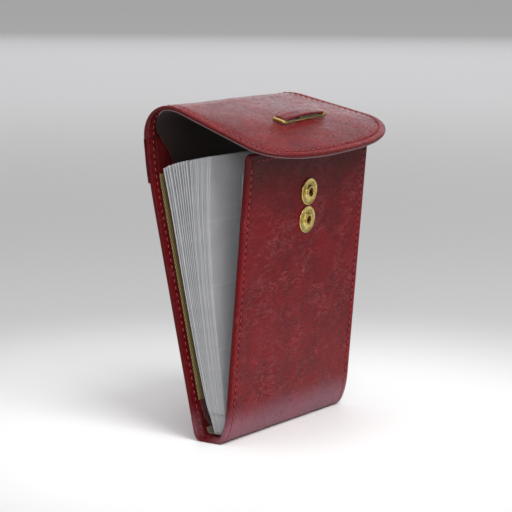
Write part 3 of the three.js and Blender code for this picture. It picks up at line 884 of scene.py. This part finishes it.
def make_badge():
    points, faces = [], []
    rail = np.linspace(-BADGE_LENGTH / 2 + 1.0, BADGE_LENGTH / 2 - 1.0, 25)
    nose = np.array([0.0, 0.12, 0.4, 0.8, 1.3, 1.7, 2.1, 2.55, 2.85, 3.0])
    swell = np.array([0.8, 0.92, 0.98, 1.0, 0.99, 0.96, 0.99, 1.0, 0.96, 0.86])
    for side in (-1.0, 1.0):
        add_bar(points, faces, rail, np.full(25, BADGE_RAIL), np.full(25, 0.95),
                side * (BADGE_WIDTH - BADGE_RAIL) / 2, 0.3, 0.5)
        order = slice(None, None, -int(side))
        where = side * (BADGE_LENGTH / 2 - nose)[order]
        add_bar(points, faces, where, BADGE_WIDTH * swell[order], 1.9 * swell[order], 0.0, 0.25, 0.35)
    maps = {"Skin": np.array([divmod(i, BAR_SIDES)[::-1] for i in range(len(points))], float)}
    metal = mesh_piece("badge_frame_metal", points, faces, maps)

    between = BADGE_LENGTH / 2 - BADGE_CLAMP
    u, v = np.meshgrid(np.linspace(-between - 0.6, between + 0.6, 49),
                       BADGE_STRIP * np.r_[-STRIP_SHARES[::-1], STRIP_SHARES], indexing="ij")
    edge = 0.65 * rim(BADGE_STRIP - np.abs(v), 0.7) / 0.7
    bow = 1.28 + 1.0 * (1.0 - (u / between) ** 2)
    grain = 0.03 * waves(u, v, 2.2, 90)
    upper = on_badge(u, v, bow + BADGE_LEATHER - edge + grain)
    lower = on_badge(u, v, bow + edge)
    sides = [0, -1]
    upper[:, sides] = lower[:, sides] = (upper[:, sides] + lower[:, sides]) / 2
    band = shell("badge_strip_leather", upper, lower, np.stack([u, v], -1),
                 np.stack([np.full_like(u, CLEAR_OF_SEAM), u], -1))
    return fixed(metal, "badge_frame", "flap"), fixed(band, "badge_strip", "flap")


# ---- materials ----
class Nodes:
    """A small writer of node materials."""

    def __init__(self, name):
        self.material = bpy.data.materials.new(name)
        self.material.use_nodes = True
        self.tree = self.material.node_tree
        self.shader = self.tree.nodes["Principled BSDF"]

    def add(self, kind, **inputs):
        node = self.tree.nodes.new(f"ShaderNode{kind}")
        for key, value in inputs.items():
            if key.startswith("_"):
                setattr(node, key[1:], value)
                continue
            socket = node.inputs[int(key[1:])] if key[1:].isdigit() else node.inputs[key]
            self.put(socket, value)
        return node

    def put(self, socket, value):
        if isinstance(value, bpy.types.NodeSocket):
            self.tree.links.new(value, socket)
        else:
            socket.default_value = value

    def set(self, **inputs):
        for key, value in inputs.items():
            self.put(self.shader.inputs[key.replace("_", " ")], value)

    def map(self, name, scale=(1.0, 1.0)):
        source = self.add("UVMap", _uv_map=name)
        mapping = self.add("Mapping", Vector=source.outputs["UV"])
        mapping.inputs["Scale"].default_value = (scale[0], scale[1], 1.0)
        return mapping.outputs["Vector"]

    def noise(self, vector, scale, detail=3.0, rough=0.55, distortion=0.0):
        node = self.add("TexNoise", Vector=vector, Scale=scale, Detail=detail, Roughness=rough,
                        Distortion=distortion)
        return node.outputs["Fac"]

    def math(self, kind, a, b=0.0):
        return self.add("Math", _operation=kind, i0=a, i1=b).outputs[0]

    def times(self, a, b):
        return self.math("MULTIPLY", a, b)

    def plus(self, a, b):
        return self.math("ADD", a, b)

    def gap(self, a, b):
        """How far apart two values are."""
        return self.math("ABSOLUTE", self.math("SUBTRACT", a, b))

    def split(self, name):
        """The two coordinates of a map."""
        node = self.add("SeparateXYZ", Vector=self.map(name))
        return node.outputs["X"], node.outputs["Y"]

    def ramp(self, value, low, high, out_low=0.0, out_high=1.0):
        node = self.add("MapRange", _interpolation_type="SMOOTHSTEP", i0=value)
        for key, number in (("From Min", low), ("From Max", high), ("To Min", out_low),
                            ("To Max", out_high)):
            node.inputs[key].default_value = number
        return node.outputs["Result"]

    def mix(self, share, a, b):
        node = self.add("Mix", _data_type="RGBA")
        self.put(node.inputs["Factor"], share)
        self.put(node.inputs[6], a)
        self.put(node.inputs[7], b)
        return node.outputs[2]

    def creases(self, vector, width, *texture):
        """Thin lines where a noise passes its middle value: 1 on a line, 0 beside it."""
        return self.ramp(self.gap(self.noise(vector, *texture), 0.5), 0.0, width, 1.0, 0.0)

    def bumped(self, heights):
        """Chains bumps, given as (height, strength, distance)."""
        normal = None
        for height, strength, distance in heights:
            node = self.add("Bump", Height=height, Strength=strength, Distance=distance)
            if normal is not None:
                self.tree.links.new(normal, node.inputs["Normal"])
            normal = node.outputs["Normal"]
        return normal


def rgb(r, g, b):
    """A colour given as 0-255 display values, in linear light."""
    def linear(v):
        v = v / 255.0
        return v / 12.92 if v <= 0.04045 else ((v + 0.055) / 1.055) ** 2.4
    return (linear(r), linear(g), linear(b), 1.0)


def grey(value):
    return (value, value, value, 1.0)


def scaled(colour, share):
    return tuple(share * c for c in colour[:3]) + (1.0,)


def leather(name, base, dark, bright, pale, gloss, shine, stitched=True, painted_light=False):
    """Creased leather. Its Seam map gives the distance from the edge and the run along it."""
    n = Nodes(name)
    skin = n.map("Skin")
    patches = n.noise(skin, 0.045, 4.0, 0.6, 0.4)
    mottle = n.noise(skin, 0.22, 5.0, 0.65, 0.8)
    fine = n.noise(skin, 1.4, 3.0, 0.6)
    crease = n.creases(skin, 0.035, 0.13, 4.0, 0.62, 1.3)
    crinkle = n.creases(skin, 0.05, 0.42, 5.0, 0.7, 1.0)
    creased_here = n.ramp(n.noise(skin, 0.05, 3.0, 0.6, 0.5), 0.42, 0.62, 0.15, 1.0)
    wrinkle = n.times(n.creases(n.map("Skin", (0.45, 1.3)), 0.045, 0.2, 4.0, 0.62, 1.2), creased_here)
    pores = n.add("TexVoronoi", Vector=skin, Scale=1.15, Randomness=1.0).outputs["Distance"]
    colour = n.mix(n.ramp(patches, 0.35, 0.68), dark, base)
    colour = n.mix(n.ramp(mottle, 0.42, 0.75, 0.0, 0.45), colour, bright)
    shade = n.plus(n.times(crease, 0.1), n.times(crinkle, 0.08))
    colour = n.mix(shade, colour, scaled(dark, 0.45))
    colour = n.mix(n.times(wrinkle, 0.48), colour, pale)
    # Painted shade: inner faces, whose Skin map is shifted past 300, are darkened towards near black, by
    # half on stitched leather and a little on the lining leather.
    inside = n.ramp(n.split("Skin")[0], 300.0, 400.0, 0.0, 0.5 if stitched else 0.15)
    colour = n.mix(inside, colour, (0.02, 0.004, 0.004, 1.0))
    if stitched:
        distance, run = n.split("Seam")
        # Painted shade along the stitch line, darkest at the needle holes between the stitches.
        line = n.ramp(n.gap(distance, STITCH_INSET), 0.15, 0.75, 1.0, 0.0)
        phase = n.math("FRACT", n.math("DIVIDE", run, STITCH_PITCH))
        hole = n.ramp(n.gap(phase, 0.5), 0.36, 0.48, 0.2, 1.0)
        colour = n.mix(n.times(line, hole), colour, scaled(dark, 0.25))
        colour = n.mix(n.ramp(distance, 0.1, 1.2, 0.6, 0.0), colour, rgb(84, 8, 12))
        # Painted highlight: a brighter band along the rounded rim, between the edge and the stitch line.
        colour = n.mix(n.ramp(n.gap(distance, 2.2), 0.5, 1.1, 0.35, 0.0), colour, bright)
    if painted_light:
        # Painted reflection: a pale pinkish sheen over the spine's bend, strong on the front cover about 7
        # mm from the spine and weaker on the back.
        for middle, reach, share in ((7.0, 16.0, 0.7), (-20.0, 12.0, 0.35)):
            painted_bend_sheen = n.times(n.ramp(n.gap(run, middle), 0.0, reach, share, 0.0),
                             n.ramp(mottle, 0.2, 0.7, 0.6, 1.0))
            colour = n.mix(painted_bend_sheen, colour, rgb(144, 100, 114))
        # Painted shadow under the flap: the front cover darkens towards its top edge.
        front_top = cover.length - SPINE_S
        painted_flap_shadow = n.ramp(run, front_top - 32.0, front_top - 3.0, 0.0, 0.75)
        colour = n.mix(painted_flap_shadow, colour, rgb(52, 14, 14))
    rough = n.ramp(n.plus(n.times(mottle, 0.6), n.times(fine, 0.4)), 0.3, 0.7,
                   gloss - 0.07, gloss + 0.12)
    normal = n.bumped([
        (patches, 0.3, 0.0012),
        (mottle, 0.35, 0.0004),
        (n.math("SUBTRACT", 1.0, crease), 0.45, 0.00012),
        (n.math("SUBTRACT", 1.0, crinkle), 0.3, 0.00006),
        (wrinkle, 0.5, 0.00015),
        (pores, 0.22, 0.00006),
        (fine, 0.15, 0.00003),
    ])
    n.set(Base_Color=colour, Roughness=rough, Normal=normal, Specular_IOR_Level=shine)
    return n.material


def cloth_black():
    n = Nodes("black_lining")
    weave = n.noise(n.map("Skin", (1.0, 0.12)), 1.6, 3.0, 0.6)
    patches = n.noise(n.map("Skin"), 0.08, 3.0, 0.6)
    colour = n.mix(n.times(n.plus(weave, patches), 0.5), rgb(26, 16, 15), rgb(56, 33, 31))
    # Painted highlight: a pale pinkish line along the lining's edge.
    border = n.ramp(n.split("Seam")[0], 0.25, 0.5, 1.0, 0.0)
    n.set(Base_Color=n.mix(border, colour, rgb(150, 116, 120)), Roughness=0.75, Sheen_Weight=0.05,
          Normal=n.bumped([(weave, 0.3, 0.00008), (patches, 0.3, 0.0006)]))
    return n.material


def woven(name, light, dark, slant, pitch):
    """Diagonal twill, or a plain weave where slant is 0."""
    n = Nodes(name)
    x, s = n.split("Skin")
    rib = n.math("SINE", n.times(n.plus(n.times(x, slant), s), 2 * math.pi / pitch))
    yarn = n.math("SINE", n.times(x, 2 * math.pi / (0.5 * pitch)))
    height = n.plus(n.times(rib, 0.7), n.times(yarn, 0.3))
    fuzz = n.noise(n.map("Skin"), 1.6, 4.0, 0.7)
    share = n.ramp(n.plus(height, n.times(fuzz, 0.8)), -0.4, 1.2)
    n.set(Base_Color=n.mix(share, dark, light), Roughness=0.9, Sheen_Weight=0.2,
          Normal=n.bumped([(height, 0.7, 0.00015), (fuzz, 0.4, 0.0001)]))
    return n.material


def thread_material():
    n = Nodes("waxed_thread")
    along, around = n.split("Skin")
    twist = n.math("SINE", n.plus(n.times(along, 14.0), n.times(around, 1.05)))
    share = n.ramp(twist, -1.0, 1.0)
    n.set(Base_Color=n.mix(share, rgb(104, 24, 30), rgb(164, 60, 62)), Roughness=0.5,
          Normal=n.bumped([(twist, 0.5, 0.00008)]))
    return n.material


def film(name, alpha, tint):
    n = Nodes(name)
    cell = n.split("Skin")
    weld = [n.ramp(n.gap(n.math("FRACT", axis), 0.5), 0.47, 0.488) for axis in cell]
    line = n.math("MAXIMUM", *weld)
    cloud = n.noise(n.map("Skin", (1.0, 1.4)), 2.1, 4.0, 0.6)
    ribs = n.math("SINE", n.times(cell[1], 220.0))
    knurl = n.times(ribs, n.ramp(n.gap(cell[0], POCKET_COLUMNS / 2), 1.36, 1.42))
    frosted = n.mix(n.ramp(cloud, 0.3, 0.7), tint, scaled(tint, 0.9))
    n.set(Base_Color=n.mix(n.times(line, 0.06), frosted, grey(0.9)),
          Roughness=n.ramp(cloud, 0.2, 0.8, 0.26, 0.4), Specular_IOR_Level=0.45,
          Alpha=n.plus(alpha, n.times(line, 0.04)),
          Normal=n.bumped([(knurl, 0.6, 0.00008), (cloud, 0.2, 0.0004)]))
    return n.material


def brass(name, bright, dull, roughness):
    n = Nodes(name)
    brushed = n.noise(n.map("Skin", (2.5, 0.35)), 1.6, 4.0, 0.7)
    blotch = n.noise(n.map("Skin"), 0.35, 3.0, 0.6)
    n.set(Base_Color=n.mix(n.ramp(blotch, 0.35, 0.7), bright, dull), Metallic=1.0,
          Roughness=n.ramp(brushed, 0.3, 0.7, roughness, roughness + 0.16),
          Normal=n.bumped([(brushed, 0.12, 0.00004)]))
    return n.material


def dress(pieces, material):
    for piece in pieces:
        piece.data.materials.clear()
        piece.data.materials.append(material)


# ---- room, light and camera ----
def make_room():
    mesh = bpy.data.meshes.new("floor")
    side = 8.0
    mesh.from_pydata([(-side, -side, 0), (side, -side, 0), (side, side, 0), (-side, side, 0)], [],
                     [(0, 1, 2, 3)])
    n = Nodes("pale_floor")
    spot = n.add("NewGeometry").outputs["Position"]
    reach = n.add("VectorMath", _operation="LENGTH", i0=spot).outputs["Value"]
    # Painted light on the floor: a bright pool within 0.06 m of the album, painted darker out to 0.34 m,
    # and pale again from 0.5 m out.
    near = n.mix(n.ramp(reach, 0.06, 0.34), grey(0.9), grey(0.5))
    n.set(Base_Color=n.mix(n.ramp(reach, 0.5, 2.0), near, grey(0.9)), Roughness=0.6)
    mesh.materials.append(n.material)
    add_object("floor", mesh)
    world = bpy.data.worlds.new("studio")
    world.use_nodes = True
    sky = world.node_tree.nodes["Background"].inputs
    sky["Color"].default_value = grey(1.0)
    sky["Strength"].default_value = 0.4
    bpy.context.scene.world = world
    bpy.context.scene.view_settings.view_transform = "Standard"


def soft_light(name, place, aim, size, power, colour=(1.0, 1.0, 1.0)):
    data = bpy.data.lights.new(name, "AREA")
    data.color = colour
    data.shape = "RECTANGLE"
    data.size, data.size_y = size
    data.energy = power
    lamp = add_object(name, data)
    lamp.location = place
    lamp.rotation_euler = (Vector(aim) - Vector(place)).to_track_quat("-Z", "Y").to_euler()


def make_camera():
    azimuth, elevation, roll = (math.radians(v) for v in (-55.703, 9.377, 0.134))
    distance = 1.0894
    aim = Vector(metres([0.0, 12.04, 85.3]))
    ahead = Vector((-math.sin(azimuth) * math.cos(elevation), math.cos(azimuth) * math.cos(elevation),
                    -math.sin(elevation)))
    flat = ahead.cross(Vector((0, 0, 1))).normalized()
    up = flat.cross(ahead)
    right = flat * math.cos(roll) + up * math.sin(roll)
    up = right.cross(ahead)
    data = bpy.data.cameras.new("camera")
    data.lens = 150.08
    data.sensor_width = 36.0
    camera = add_object("camera", data)
    turn = Matrix((right, up, -ahead)).transposed().to_4x4()
    camera.matrix_world = Matrix.Translation(aim - ahead * distance) @ turn
    bpy.context.scene.camera = camera


# ---- the album ----
OXBLOOD = [rgb(112, 12, 20), rgb(92, 10, 18), rgb(132, 15, 17), rgb(160, 74, 80)]
# The flap's copy of the oxblood is painted mostly darker than the cover's, as painted shade that offsets
# the stronger light on the flap's top.
FLAP_RED = [rgb(104, 11, 17), rgb(84, 9, 15), rgb(134, 15, 16), rgb(136, 54, 58)]
COVER_LEATHER = leather("oxblood_leather", *OXBLOOD, 0.28, 0.1, painted_light=True)
FLAP_SKIN = leather("oxblood_flap_leather", *FLAP_RED, 0.24, 0.24)
DARK_RED = leather("dark_red_leather", rgb(112, 13, 15), rgb(84, 10, 11), rgb(128, 17, 17),
                   rgb(124, 36, 36), 0.42, 0.2, False)
BRASS = brass("polished_brass", rgb(224, 204, 132), rgb(176, 154, 84), 0.2)
# A darker brass for the rivet posts, whose tops show in the studs' holes.
DARK_BRASS = brass("dark_brass_posts", rgb(150, 96, 36), rgb(92, 52, 18), 0.4)
THREAD = thread_material()

make_camera()
make_room()
soft_light("overhead", (-0.1, 0.0, 0.9), (0, 0, 0.1), (0.6, 0.6), 2.5)
soft_light("key", (-0.3, -0.85, 1.45), (0, 0, 0.08), (0.8, 0.8), 20.0)
soft_light("side_fill", (-1.05, -0.8, 0.5), (0, 0, 0.08), (0.6, 0.6), 3.9)
soft_light("backdrop", (2.6, 1.5, 1.0), (0, 0, 0.1), (3.0, 1.2), 10.0, (0.96, 0.93, 1.0))

dress([make_cover()], COVER_LEATHER)
dress([make_flap()], FLAP_SKIN)
dress([make_cover_lining()], DARK_RED)
dress([make_flap_lining()], cloth_black())
dress([make_cover_thread(), make_flap_thread()], THREAD)
dress(make_leaves(), film("frosted_film", 0.64, rgb(222, 223, 226)))
tape, pocket, back_sheet, binding = make_insert()
dress([tape], woven("tape_weave", rgb(196, 178, 150), rgb(120, 100, 76), 0.0, 0.9))
dress([pocket], woven("olive_twill", rgb(150, 128, 62), rgb(66, 54, 22), 1.0, 1.9))
dress([back_sheet, binding], film("clear_film_plain", 0.05, rgb(230, 234, 236)))
studs = make_studs()
dress(studs[0::2], BRASS)
dress(studs[1::2], DARK_BRASS)
dress(make_socket(), BRASS)
badge_metal, badge_leather = make_badge()
dress([badge_metal], BRASS)
dress([badge_leather], FLAP_SKIN)
